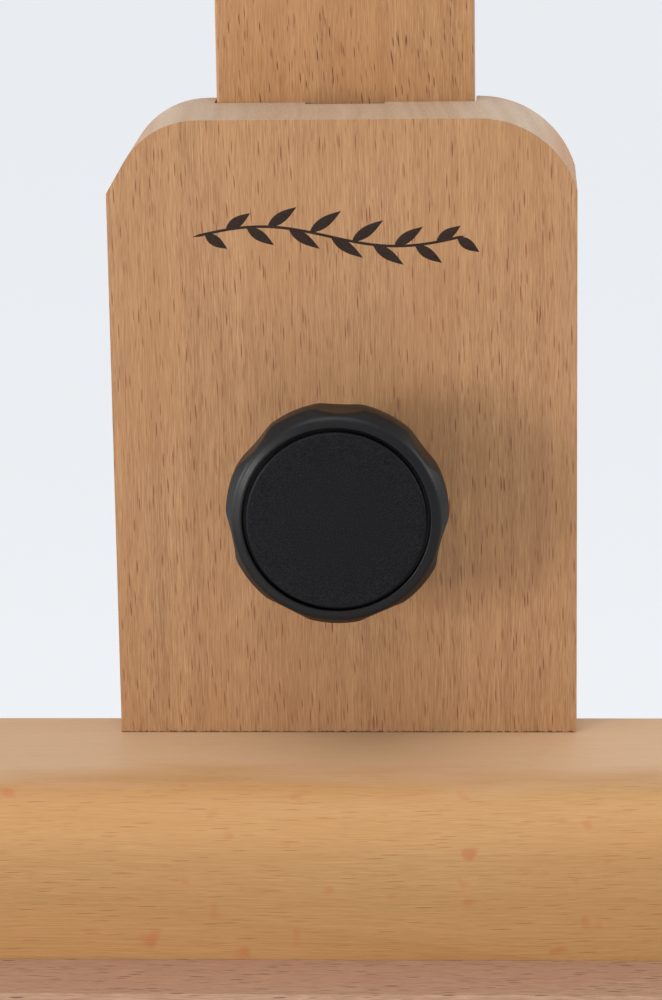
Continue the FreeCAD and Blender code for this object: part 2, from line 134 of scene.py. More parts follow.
# ---------------------------------------------------------------- materials
def linear(hex_colour: str) -> tuple[float, float, float, float]:
    """sRGB hex colour as linear RGBA: (c/12.92) below 0.04045, else ((c+0.055)/1.055)^2.4."""
    parts = [int(hex_colour[i:i + 2], 16) / 255 for i in (1, 3, 5)]
    red, green, blue = (c / 12.92 if c <= 0.04045 else ((c + 0.055) / 1.055) ** 2.4 for c in parts)
    return red, green, blue, 1.0


def add_node(tree: Tree, kind: str, inputs: dict | None = None, **settings) -> bpy.types.Node:
    """Add a node, set its properties, and set or link its sockets.

    Args:
        tree: the material's node tree.
        kind: the node's type, without its ShaderNode prefix.
        inputs: socket name or number, with a value or the output socket to link from.
        settings: properties of the node.

    Returns:
        The new node.
    """
    node = tree.nodes.new("ShaderNode" + kind)
    for name, value in settings.items():
        setattr(node, name, value)
    for name, value in (inputs or {}).items():
        if isinstance(value, Socket):
            tree.links.new(value, node.inputs[name])
        else:
            node.inputs[name].default_value = value
    return node


def maths(tree: Tree, operation: str, *values: Socket | float, clamp: bool = False) -> Socket:
    """Result of one arithmetic step on sockets and numbers."""
    return add_node(tree, "Math", dict(enumerate(values)), operation=operation, use_clamp=clamp).outputs[0]


def vectors(tree: Tree, operation: str, *values: Socket | tuple | Vector) -> Socket:
    """Result of one step on vectors: a number for a dot product or a length, else a vector."""
    step = add_node(tree, "VectorMath", dict(enumerate(values)), operation=operation)
    return step.outputs["Value" if operation in ("DOT_PRODUCT", "LENGTH") else "Vector"]


def clouds(tree: Tree, place: Socket, size: float, detail: float, rough: float = 0.5) -> bpy.types.Node:
    """Soft noise with cells of about the given size; detail adds finer layers, rough makes them stronger."""
    return add_node(tree, "TexNoise", {"Vector": place, "Scale": 1 / size, "Detail": detail,
                                       "Roughness": rough})


def mixed(tree: Tree, share: Socket | float, under: Socket | tuple, over: Socket | tuple) -> Socket:
    """Colour that goes from under to over as share goes from 0 to 1."""
    return add_node(tree, "Mix", {0: share, 6: under, 7: over}, data_type="RGBA").outputs[2]


def ramp(tree: Tree, value: Socket, start: float, end: float, low: float = 0.0, high: float = 1.0,
         **settings: str) -> Socket:
    """Value that goes from low to high as the given one goes from start to end, and stops there."""
    return add_node(tree, "MapRange", {"Value": value, "From Min": start, "From Max": end, "To Min": low,
                                       "To Max": high}, **settings).outputs[0]


def relief(tree: Tree, height: Socket, strength: float, depth: float) -> Socket:
    """Normal of a surface whose height varies by up to depth metres."""
    return add_node(tree, "Bump", {"Height": height, "Strength": strength, "Distance": depth}).outputs[0]


def surface(tree: Tree, levels: dict[str, Socket | float | tuple]) -> None:
    """End the tree in one surface with the given colour, roughness and other levels."""
    shader = add_node(tree, "BsdfPrincipled", levels)
    add_node(tree, "OutputMaterial", {"Surface": shader.outputs[0]})


def blank_material(name: str) -> tuple[Material, Tree]:
    """New material and its empty node tree."""
    material = bpy.data.materials.new(name)
    material.use_nodes = True
    material.node_tree.nodes.clear()
    return material, material.node_tree


class Grain(Enum):
    """Way the fibres of a board run, as turns about X, Y and Z that bring them upright."""

    UP = (0.0, 0.0, 0.0)
    ACROSS = (0.0, math.radians(-90), 0.0)
    DEEP = (math.radians(90), 0.0, 0.0)

    def axis(self) -> tuple[float, float, float]:
        """Direction of the fibres on the easel."""
        return {Grain.UP: (0.0, 0.0, 1.0), Grain.ACROSS: (1.0, 0.0, 0.0), Grain.DEEP: (0.0, 1.0, 0.0)}[self]


@dataclass(frozen=True)
class OiledBeech:
    """European beech, planed, sanded and oiled: warm tan fibres, short dark ray flecks, end grain pale partly by
    painted sheen.

    Lengths are millimetres on the real board. Ray flecks are lens-shaped marks of the rays, 2 to 5 long.
    """

    name: str
    light: str = "#BB9066"
    dark: str = "#855D3B"
    warm: str = "#A5774F"
    fleck: str = "#7A4229"
    # End-grain colour, whose paleness is partly the wood's own and partly painted sheen of top faces.
    end: str = "#B8A48E"
    fleck_strength: float = 1.0
    fleck_across: float = 0.7
    fleck_along: float = 9.5
    fleck_size: float = 0.25
    fleck_slant: float = math.radians(1.5)
    streak_across: float = 0.25
    streak_along: float = 6.0
    streak_contrast: float = 1.0
    ring_spacing: float = 5.0
    ring_contrast: float = 1.1
    blotch_strength: float = 0.0
    blotch: str = "#A8603A"
    roughness: float = 0.6
    # Height of a joint with another board, and the colour of the painted crevice shade along it; None means no
    # line.
    joint_shade_m: float | None = None
    joint_shade: str = "#3A2C22"
    # Depth behind which the wood turns paler and greyer, and that colour: dust plus painted grazing sheen; None
    # means none.
    dust_and_sheen_from_m: float | None = None
    dust_and_sheen: str = "#BB9B7C"

    def material(self, piece: str, grain: Grain, offset: Vector, lean: float = 0.0) -> Material:
        """Node material for one board.

        Args:
            piece: name of the board, which names the material.
            grain: way the fibres run.
            offset: shift of the pattern in millimetres, so that no two boards are alike.
            lean: radians the board leans about X from the grain's direction.

        Returns:
            The material.
        """
        material, tree = blank_material(f"{self.name}_{piece}")
        coords = add_node(tree, "TexCoord")
        turn = (grain.value[0] - lean, grain.value[1], grain.value[2])
        place = add_node(tree, "Mapping", {"Vector": coords.outputs["Object"], "Location": offset,
                                           "Rotation": turn, "Scale": (1 / MM,) * 3})
        point = self._bent(tree, place.outputs[0])
        across, along = self.streak_across, self.streak_along
        streak = self._stretched_noise(tree, point, across * 2.6, along * 3.2, 2.0, 0.6)
        fine = self._stretched_noise(tree, point, across, along, 3.0, 0.7)
        ring = self._rings(tree, point)
        fleck = self._flecks(tree, point, self.fleck_across, self.fleck_along, self.fleck_size)
        line = self._flecks(tree, point, 0.9, 11.0, 0.19)
        colour = self._colour(tree, point, streak, fine, ring, fleck, line)
        end = self._end_mask(tree, coords.outputs["Normal"], grain, lean)
        # End-grain colour, whose paleness is partly painted sheen.
        colour = mixed(tree, end, colour, self._end_grain_with_sheen(tree, point, ring))
        height = maths(tree, "MULTIPLY_ADD", fine, 0.6, streak)
        height = maths(tree, "MULTIPLY_ADD", fleck, -0.8, height)
        # Painted crevice shade along the joint with the bar.
        if self.joint_shade_m is not None:
            colour = self._paint_joint_shade(tree, coords, colour)
        # Paler, greyer wood near the block: dust plus painted grazing sheen.
        if self.dust_and_sheen_from_m is not None:
            colour = self._paint_dust_and_sheen(tree, coords.outputs["Object"], colour)
        rough = ramp(tree, streak, 0.0, 1.0, self.roughness - 0.05, self.roughness + 0.09)
        surface(tree, {"Base Color": colour, "Roughness": rough, "IOR": 1.48, "Specular IOR Level": 0.38,
                       "Normal": relief(tree, height, 0.35, 0.10 * MM)})
        return material

    def _paint_joint_shade(self, tree: Tree, coords: bpy.types.Node, colour: Socket) -> Socket:
        """Painted crevice shade in the crack where another board meets the front: a broken dark line up to 0.5 mm
        high.
        """
        place = coords.outputs["Object"]
        height = add_node(tree, "SeparateXYZ", {0: place}).outputs[2]
        broken = clouds(tree, place, 0.9 * MM, 2.0).outputs[0]
        reach = ramp(tree, broken, 0.3, 0.7, 0.05 * MM, 0.5 * MM)
        near = maths(tree, "COMPARE", height, self.joint_shade_m, reach)
        facing = vectors(tree, "DOT_PRODUCT", coords.outputs["Normal"], (0.0, -0.8, 0.0))
        share = maths(tree, "MULTIPLY", near, facing, clamp=True)
        return mixed(tree, share, colour, linear(self.joint_shade))

    def _paint_dust_and_sheen(self, tree: Tree, place: Socket, colour: Socket) -> Socket:
        """Dust plus painted grazing sheen: greyer wood behind a wavy line, which wanders some 10 mm to and fro
        over about 60 mm.
        """
        depth = add_node(tree, "SeparateXYZ", {0: place}).outputs[1]
        drawn = vectors(tree, "MULTIPLY", place, (1 / (60 * MM), 1 / (14 * MM), 1 / (14 * MM)))
        wander = clouds(tree, drawn, 1.0, 2.0).outputs[0]
        line = maths(tree, "MULTIPLY_ADD", wander, -44 * MM, self.dust_and_sheen_from_m + 22 * MM)
        behind = maths(tree, "SUBTRACT", depth, line)
        return mixed(tree, ramp(tree, behind, -9 * MM, 9 * MM, 0.0, 0.7), colour, linear(self.dust_and_sheen))

    def _bent(self, tree: Tree, point: Socket) -> Socket:
        """Point shifted sideways by slow noise, up to 1.6 mm over about 100 mm, so fibres wander."""
        slow = vectors(tree, "MULTIPLY", point, (1 / 38, 1 / 38, 1 / 130))
        centred = vectors(tree, "SUBTRACT", clouds(tree, slow, 1.0, 1.0).outputs["Color"], (0.5, 0.5, 0.5))
        return vectors(tree, "MULTIPLY_ADD", centred, (4.5, 4.5, 0.0), point)

    def _stretched_noise(self, tree: Tree, point: Socket, across: float, along: float, detail: float,
                         rough: float) -> Socket:
        """Noise with cells of the given width and length, spread to use 0 to 1."""
        scaled = vectors(tree, "MULTIPLY", point, (1 / across, 1 / across, 1 / along))
        return ramp(tree, clouds(tree, scaled, 1.0, detail, rough).outputs[0], 0.3, 0.7)

    def _rings(self, tree: Tree, point: Socket) -> Socket:
        """Bands by distance from a pith about 170 mm from the middle of the board's pattern."""
        flat = vectors(tree, "MULTIPLY_ADD", point, (1.0, 1.0, 0.012), (90.0, 140.0, 0.0))
        turns = maths(tree, "DIVIDE", vectors(tree, "LENGTH", flat), self.ring_spacing)
        noise = add_node(tree, "TexNoise", {"W": turns, "Scale": 1.0, "Detail": 3.0, "Roughness": 0.6},
                         noise_dimensions="1D")
        return ramp(tree, noise.outputs[0], 0.3, 0.7)

    def _flecks(self, tree: Tree, point: Socket, across: float, along: float, size: float) -> Socket:
        """Lenses round the points of a jittered lattice: cells across x along mm, size cells in radius."""
        leaning = add_node(tree, "Mapping", {"Vector": point, "Rotation": (0.0, self.fleck_slant, 0.0)})
        scaled = vectors(tree, "MULTIPLY", leaning.outputs[0], (1 / across, 1 / across, 1 / along))
        cells = add_node(tree, "TexVoronoi", {"Vector": scaled, "Scale": 1.0, "Randomness": 1.0})
        shape = ramp(tree, cells.outputs["Distance"], size, size * 0.55, interpolation_type="SMOOTHSTEP")
        pick = add_node(tree, "SeparateColor", {0: cells.outputs["Color"]})
        return maths(tree, "MULTIPLY", shape, maths(tree, "SQRT", pick.outputs[0]))

    def _colour(self, tree: Tree, point: Socket, streak: Socket, fine: Socket, ring: Socket, fleck: Socket,
                line: Socket) -> Socket:
        """Long-grain colour: streaks and rings from light to dark, then warm clouds, blotches and flecks."""
        shade = maths(tree, "MULTIPLY", ring, 0.20 * self.ring_contrast)
        shade = maths(tree, "MULTIPLY_ADD", streak, 0.13 * self.streak_contrast, shade)
        shade = maths(tree, "MULTIPLY_ADD", fine, 0.76 * self.streak_contrast, shade)
        colour = mixed(tree, shade, linear(self.light), linear(self.dark))
        cloud = self._stretched_noise(tree, point, 16.0, 70.0, 1.0, 0.5)
        colour = mixed(tree, maths(tree, "MULTIPLY", cloud, 0.45), colour, linear(self.warm))
        if self.blotch_strength > 0:
            spot = vectors(tree, "MULTIPLY", point, (1 / 5.5, 1 / 5.5, 1 / 6.5))
            spots = clouds(tree, spot, 1.0, 1.0).outputs[0]
            mask = ramp(tree, spots, 0.66, 0.78, 0.0, self.blotch_strength)
            colour = mixed(tree, mask, colour, linear(self.blotch))
        marks = maths(tree, "MULTIPLY_ADD", line, 0.55, fleck)
        marks = maths(tree, "MULTIPLY", marks, self.fleck_strength, clamp=True)
        return mixed(tree, marks, colour, linear(self.fleck))

    def _end_mask(self, tree: Tree, normal: Socket, grain: Grain, lean: float) -> Socket:
        """1 where the surface cuts the fibres: the size of normal . fibre direction, from 0.55 to 0.85."""
        axis = Matrix.Rotation(lean, 3, "X") @ Vector(grain.axis())
        size = maths(tree, "ABSOLUTE", vectors(tree, "DOT_PRODUCT", normal, axis))
        return ramp(tree, size, 0.55, 0.85)

    def _end_grain_with_sheen(self, tree: Tree, point: Socket, ring: Socket) -> Socket:
        """End grain: pale, partly as painted sheen, speckled by pores about 0.4 mm apart, with faint rings."""
        pores = self._stretched_noise(tree, point, 0.45, 3.0, 2.0, 0.6)
        shade = maths(tree, "MULTIPLY", pores, 0.45)
        shade = maths(tree, "MULTIPLY_ADD", ring, 0.22, shade)
        return mixed(tree, shade, linear(self.end), linear(self.dark))


@dataclass(frozen=True)
class MouldedPlastic:
    """Glass-filled nylon with a spark-eroded mould finish: near black, fine dull grain, soft edge sheen."""

    name: str
    colour: str = "#0D0D0F"
    pale: str = "#19191B"
    grain_mm: float = 0.28
    roughness: float = 0.46
    grain_height: float = 0.05
    shine: float = 0.2

    def material(self) -> Material:
        """Node material with the mould's grain in colour, roughness and bump."""
        material, tree = blank_material(self.name)
        coords = add_node(tree, "TexCoord").outputs["Object"]
        grain = clouds(tree, coords, self.grain_mm * MM, 2.0, 0.7).outputs[0]
        cloud = clouds(tree, coords, 14 * MM, 2.0).outputs[0]
        colour = mixed(tree, ramp(tree, grain, 0.38, 0.72), linear(self.colour), linear(self.pale))
        rough = ramp(tree, cloud, 0.3, 0.7, self.roughness - 0.05, self.roughness + 0.07)
        surface(tree, {"Base Color": colour, "Roughness": rough, "IOR": 1.5,
                       "Specular IOR Level": self.shine,
                       "Normal": relief(tree, grain, 0.5, self.grain_height * MM)})
        return material


@dataclass(frozen=True)
class PlatedMetal:
    """Zinc-plated or brass hardware: metal colour with cloudy plating and fine drawn scratches."""

    name: str
    colour: str
    shade: str
    roughness: float = 0.34

    def material(self) -> Material:
        """Node material with clouded colour and roughness."""
        material, tree = blank_material(self.name)
        coords = add_node(tree, "TexCoord").outputs["Object"]
        cloud = clouds(tree, coords, 5 * MM, 4.0, 0.65).outputs[0]
        scratch = clouds(tree, coords, 0.3 * MM, 2.0).outputs[0]
        colour = mixed(tree, cloud, linear(self.colour), linear(self.shade))
        rough = ramp(tree, cloud, 0.3, 0.7, self.roughness - 0.08, self.roughness + 0.1)
        surface(tree, {"Base Color": colour, "Metallic": 1.0, "Roughness": rough,
                       "Normal": relief(tree, scratch, 0.2, 0.01 * MM)})
        return material


PLAIN_BEECH = OiledBeech("oiled_beech")
MAST_BEECH = OiledBeech("mast_beech", light="#BC9165", dark="#8A5E39", warm="#A87449", fleck="#582E1A",
                        fleck_strength=1.0, fleck_across=0.64, fleck_along=6.8, fleck_size=0.26,
                        fleck_slant=math.radians(4.0))
BAR_BEECH = OiledBeech("pale_beech", light="#B98F5E", dark="#926839", warm="#AC7C4A", fleck="#8A5233",
                       fleck_strength=0.5, fleck_across=0.7, fleck_along=12.0, streak_along=8.0,
                       streak_contrast=0.6, ring_spacing=14.0, ring_contrast=1.0, blotch_strength=0.55)
LIP_BEECH = OiledBeech("rosy_beech", light="#B59278", dark="#7F5C47", warm="#9C735A", fleck="#5C3C34",
                       fleck_strength=1.0, fleck_across=0.9, fleck_along=9.0)
KNOB_PLASTIC = MouldedPlastic("glass_filled_nylon_knob", colour="#09090B", pale="#141416", roughness=0.38,
                              grain_height=0.06, shine=0.22)
CAP_PLASTIC = MouldedPlastic("spark_eroded_nylon_cap", colour="#030304", pale="#1D1D21", roughness=0.44,
                             grain_height=0.17, grain_mm=0.33, shine=0.12)
SHOE_PLASTIC = MouldedPlastic("cast_nylon_shoe", colour="#1C1C1C", pale="#262626", roughness=0.5)
PAD_RUBBER = MouldedPlastic("moulded_rubber_pad", colour="#101010", pale="#1A1A1A", roughness=0.78)
ZINC_STEEL = PlatedMetal("zinc_plated_steel", "#C9CBCD", "#A9ACB0")
BRASS = PlatedMetal("turned_brass", "#D9B36A", "#B58C45", roughness=0.3)


# ---------------------------------------------------------------- numpy surfaces
def rounded_outline(corners: list[tuple[float, float, float]], steps: int = 5) -> np.ndarray:
    """Open outline through corners, each rounded by an arc of its own radius.

    At a corner that turns by angle a, an arc of radius r starts r * tan(a / 2) before it and ends as far
    after it.

    Args:
        corners: (across, along, radius) of each corner; the first and last are ends.
        steps: points on each arc, less one.

    Returns:
        Points as an array with two columns.
    """
    places = np.array([corner[:2] for corner in corners], float)
    points = [places[:1]]
    for index in range(1, len(corners) - 1):
        here, radius = places[index], corners[index][2]
        back, ahead = places[index - 1] - here, places[index + 1] - here
        back, ahead = back / np.linalg.norm(back), ahead / np.linalg.norm(ahead)
        turn = math.pi - math.acos(float(np.clip(back @ ahead, -1, 1)))
        if radius <= 0 or turn < 0.01:
            points.append(here[None])
            continue
        reach = radius * math.tan(turn / 2)
        middle = (back + ahead) / np.linalg.norm(back + ahead)
        centre = here + middle * radius / math.cos(turn / 2)
        start = here + back * reach - centre
        side = math.copysign(1.0, back[1] * ahead[0] - back[0] * ahead[1])
        angle = np.linspace(0, turn, steps + 1)[:, None] * side
        swung = np.hstack([np.cos(angle) * start[0] - np.sin(angle) * start[1],
                           np.sin(angle) * start[0] + np.cos(angle) * start[1]])
        points.append(centre + swung)
    points.append(places[-1:])
    return np.vstack(points)


def divided(outline: np.ndarray, longest: float) -> np.ndarray:
    """Outline with extra points so that no stretch is longer than the given length."""
    lengths = np.linalg.norm(np.diff(outline, axis=0), axis=1)
    counts = np.maximum(1, np.ceil(lengths / longest)).astype(int)
    starts = np.repeat(np.arange(len(counts)), counts)
    share = np.concatenate([np.arange(count) / count for count in counts])[:, None]
    return np.vstack([outline[starts] * (1 - share) + outline[starts + 1] * share, outline[-1:]])


def placed(name: str, data: bpy.types.ID) -> Piece:
    """New object in the scene with the given data."""
    piece = bpy.data.objects.new(name, data)
    bpy.context.scene.collection.objects.link(piece)
    return piece


def smoothed(name: str, mesh: bpy.types.Mesh, sharp_degrees: float) -> Piece:
    """New object with smooth shading, apart from edges sharper than the given angle."""
    mesh.polygons.foreach_set("use_smooth", np.ones(len(mesh.polygons), dtype=bool))
    mesh.set_sharp_from_angle(angle=math.radians(sharp_degrees))
    return placed(name, mesh)


def skin(name: str, rings: np.ndarray) -> Piece:
    """Closed surface over a stack of rings, whose first and last rings shrink to their middle points.

    Args:
        name: name of the piece.
        rings: array of ring, point on the ring, and coordinate, in metres.

    Returns:
        A smooth-shaded object with outward faces.
    """
    count, around, _ = rings.shape
    first, last = rings[0].mean(axis=0), rings[-1].mean(axis=0)
    points = np.vstack([rings[1:-1].reshape(-1, 3), first, last])
    rows, columns = np.meshgrid(np.arange(count - 3), np.arange(around), indexing="ij")
    nearby = (columns + 1) % around
    quads = np.stack([rows * around + columns, rows * around + nearby, (rows + 1) * around + nearby,
                      (rows + 1) * around + columns], axis=-1).reshape(-1, 4)
    turn = np.arange(around)
    near_first = np.stack([np.full(around, len(points) - 2), (turn + 1) % around, turn], axis=-1)
    base = (count - 3) * around
    near_last = np.stack([np.full(around, len(points) - 1), base + turn, base + (turn + 1) % around], axis=-1)
    mesh = bpy.data.meshes.new(name)
    mesh.from_pydata(points.tolist(), [], quads.tolist() + near_first.tolist() + near_last.tolist())
    mesh.update()
    solid = bmesh.new()
    solid.from_mesh(mesh)
    if solid.calc_volume(signed=True) < 0:
        bmesh.ops.reverse_faces(solid, faces=solid.faces)
    solid.to_mesh(mesh)
    solid.free()
    return smoothed(name, mesh, 38)


@dataclass(frozen=True)
class Axis:
    """A place on the easel and the direction of a turned piece's axis."""

    start: np.ndarray
    outward: np.ndarray

    def lift(self, across: np.ndarray, upward: np.ndarray, along: np.ndarray) -> np.ndarray:
        """Points from their place across, upward and along the axis."""
        helper = np.array([0.0, 0.0, 1.0]) if abs(self.outward[2]) < 0.9 else np.array([0.0, 1.0, 0.0])
        right = np.cross(helper, self.outward)
        up = np.cross(self.outward, right)
        return (self.start + across[..., None] * right + upward[..., None] * up
                + along[..., None] * self.outward)


def turned(name: str, outline: np.ndarray, axis: Axis, around: int = 48,
           shape: Callable[[np.ndarray, np.ndarray, np.ndarray], tuple[np.ndarray, np.ndarray]] | None = None
           ) -> Piece:
    """Surface of revolution of (radius, height) points, whose radius and height a function may change.

    A point at angle a has across = radius * cos(a) and upward = radius * sin(a).

    Args:
        name: name of the piece.
        outline: radius and height along the section, in millimetres, from one pole to the other.
        axis: where height 0 lies and which way height grows.
        around: points on each ring.
        shape: takes radius, height and angle grids and returns new radius and height grids.

    Returns:
        The piece.
    """
    angle = np.linspace(0, 2 * math.pi, around, endpoint=False)[None, :] + np.zeros((len(outline), 1))
    radius = outline[:, :1] + np.zeros_like(angle)
    height = outline[:, 1:] + np.zeros_like(angle)
    if shape is not None:
        radius, height = shape(radius, height, angle)
    return skin(name, axis.lift(radius * np.cos(angle) * MM, radius * np.sin(angle) * MM, height * MM))


# ---------------------------------------------------------------- putting pieces on the easel
def dress(piece: Piece, node: str, material: Material, stands_in: bool = True) -> None:
    """Give a piece its material and body, and let it stand for its CAD node.

    Args:
        piece: the finished piece.
        node: CAD node that it stands for.
        material: finish of the piece.
        stands_in: whether the CAD node is hidden.
    """
    piece.data.materials.clear()
    piece.data.materials.append(material)
    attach(piece, body_of(node))
    if stands_in:
        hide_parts(node)
    log.info("%s: %d faces on %s", piece.name, len(piece.data.polygons), body_of(node))


def eased_copy(node: str, radius_mm: float, material: Material) -> Piece:
    """Copy of a CAD node with its sharp edges rounded over.

    Args:
        node: the CAD node.
        radius_mm: radius of the round.
        material: finish of the piece.

    Returns:
        The piece, which stands for the node.
    """
    copy = merged_copy(node)
    mesh = bpy.data.meshes.new(f"{node}_eased")
    copy.to_mesh(mesh)
    copy.free()
    piece = smoothed(f"{node}_eased", mesh, 25)
    bevel = piece.modifiers.new("eased_edges", "BEVEL")
    bevel.width = radius_mm * MM
    bevel.segments = 3
    bevel.limit_method = "ANGLE"
    bevel.angle_limit = math.radians(25)
    bevel.harden_normals = True
    dress(piece, node, material)
    return piece


@dataclass
class Board:
    """One wooden piece: its node, its beech, its grain and how far its edges are rounded."""

    node: str
    beech: OiledBeech = PLAIN_BEECH
    grain: Grain = Grain.UP
    ease_mm: float = 0.9
    lean: float = 0.0

    def build(self) -> Piece:
        """Eased copy in its own part of the beech's pattern, set by the letters of its name."""
        number = sum((place + 1) * ord(letter) for place, letter in enumerate(self.node))
        offset = Vector((number * 7.3 % 311, number * 3.1 % 257, number * 11.7 % 533))
        material = self.beech.material(self.node, self.grain, offset, self.lean)
        return eased_copy(self.node, self.ease_mm, material)


def build_boards(boards: list[Board]) -> None:
    """Make each board of a sub-assembly."""
    for board in boards:
        board.build()


class Recess(Enum):
    """Shape sunk into a fastener's head."""

    CROSS = "cross"
    SOCKET = "hexagon socket"


@dataclass
class Fastener:
    """Screws or bolts of one node, each a surface of revolution with its drive sunk into the head."""

    node: str
    material: Material
    recess: Recess = Recess.CROSS
    head_depth_mm: float = 3.0
    drive_depth_mm: float = 1.5
    long_mm: float = 20.0

    def build(self) -> None:
        """Make one piece for each solid of the node; the first of them stands for the node."""
        for number, points in enumerate(separate_solids(self.node)):
            self._one(number, points)

    def _one(self, number: int, points: np.ndarray) -> None:
        """One fastener, laid along the longest side of its solid with the head at the wider end."""
        low, high = points.min(axis=0), points.max(axis=0)
        long_axis = int(np.argmax(high - low))
        others = [axis for axis in range(3) if axis != long_axis]
        middle = (low + high) / 2

        def half_width(end: float) -> float:
            near = np.abs(points[:, long_axis] - end) < 0.6 * MM
            return float(np.abs(points[near][:, others] - middle[others]).max())

        head_high = half_width(high[long_axis]) > half_width(low[long_axis])
        outward = np.zeros(3)
        outward[long_axis] = 1.0 if head_high else -1.0
        start = middle.copy()
        start[long_axis] = high[long_axis] if head_high else low[long_axis]
        head = half_width(start[long_axis]) / MM
        shank_end = half_width(low[long_axis] if head_high else high[long_axis]) / MM
        outline = self._outline(head, shank_end, (high - low)[long_axis] / MM)
        piece = turned(f"{self.node}_{number}", outline, Axis(start, outward), 36,
                       lambda radius, height, angle: self._drive(head, radius, height, angle))
        dress(piece, self.node, self.material)

    def _outline(self, head: float, end: float, length: float) -> np.ndarray:
        """Section from the middle of the head, down the shank, to the tip."""
        shank = max(end, head * 0.5)
        tip = [(shank, -length + 0.6, 0.0), (shank - 0.6, -length, 0.0)] if end > 1.0 else \
              [(shank, -length + 6.0, 1.0), (0.3, -length, 0.0)]
        if self.recess is Recess.CROSS:
            under = [(head, -0.5, 0.1), (shank, -self.head_depth_mm, 0.4)]
        else:
            under = [(head, -self.head_depth_mm, 0.1), (shank, -self.head_depth_mm, 0.2)]
        corners = [(0.0, 0.0, 0.0), (head, 0.0, 0.25)] + under + tip + [(0.0, -length, 0.0)]
        section = rounded_outline(corners, 3)
        if length >= self.long_mm:
            return self._coarse_shank(section, head)
        return divided(section, 0.35 if self.recess is Recess.CROSS else 0.6)

    def _coarse_shank(self, outline: np.ndarray, head: float) -> np.ndarray:
        """Fine steps over the head's flat top only, where the drive is sunk."""
        top = np.stack([np.linspace(0, head * 0.9, 12), np.zeros(12)], axis=1)
        return np.vstack([top, outline[1:]])

    def _drive(self, head: float, radius: np.ndarray, height: np.ndarray,
               angle: np.ndarray) -> tuple[np.ndarray, np.ndarray]:
        """Sink the drive: a cross of two slots that fade out, or a hexagon of even depth."""
        top = height > -0.02
        if self.recess is Recess.CROSS:
            across, upward = np.abs(radius * np.cos(angle)), np.abs(radius * np.sin(angle))
            slot = np.minimum(across, upward) < head * 0.13
            fade = np.clip(1 - radius / (head * 0.62), 0, 1)
            centre = np.clip(1 - radius / (head * 0.22), 0, 1)
            depth = self.drive_depth_mm * np.where(slot, np.sqrt(fade), centre)
        else:
            sector = (angle + math.pi / 6) % (math.pi / 3) - math.pi / 6
            depth = np.where(radius * np.cos(sector) < head * 0.46, self.drive_depth_mm, 0.0)
        return radius, np.where(top, height - depth, height)


def socket_bolts(node: str, steel: Material, drive_mm: float = 2.6) -> None:
    """Bolts of one node, with 5 mm deep heads and hexagon sockets."""
    Fastener(node, steel, Recess.SOCKET, 5.0, drive_mm).build()


@dataclass
class Thread:
    """Threaded rod: radius falls by the thread's depth in a rounded saw-tooth along a helix."""

    radius_mm: float = 4.0
    pitch_mm: float = 1.25
    depth_mm: float = 0.55
    chamfer_mm: float = 0.7
    rings_per_turn: int = 8

    def build(self, name: str, start: np.ndarray, outward: np.ndarray, length_mm: float) -> Piece:
        """Rod from start along outward, with chamfered ends.

        Args:
            name: name of the piece.
            start: end of the rod on its axis, in metres.
            outward: direction of the rod.
            length_mm: length of the rod.

        Returns:
            The piece.
        """
        rows = np.linspace(0, length_mm, int(length_mm / self.pitch_mm * self.rings_per_turn))
        body = np.stack([np.full_like(rows, self.radius_mm), rows], axis=1)
        outline = np.vstack([[[0, 0]], body, [[0, length_mm]]])

        def cut(radius: np.ndarray, height: np.ndarray,
                angle: np.ndarray) -> tuple[np.ndarray, np.ndarray]:
            phase = (height / self.pitch_mm - angle / (2 * math.pi)) % 1.0
            tooth = np.abs(phase - 0.5) * 2
            inside = np.clip(np.minimum(height, length_mm - height), 0, 1)
            groove = self.depth_mm * np.clip(1.15 - 1.3 * tooth, 0, 1)
            shaped = radius - groove - self.chamfer_mm * (1 - inside)
            return np.where(radius > 0.1, np.maximum(shaped, 0.5), radius), height

        return turned(name, outline, Axis(start, outward), 28, cut)


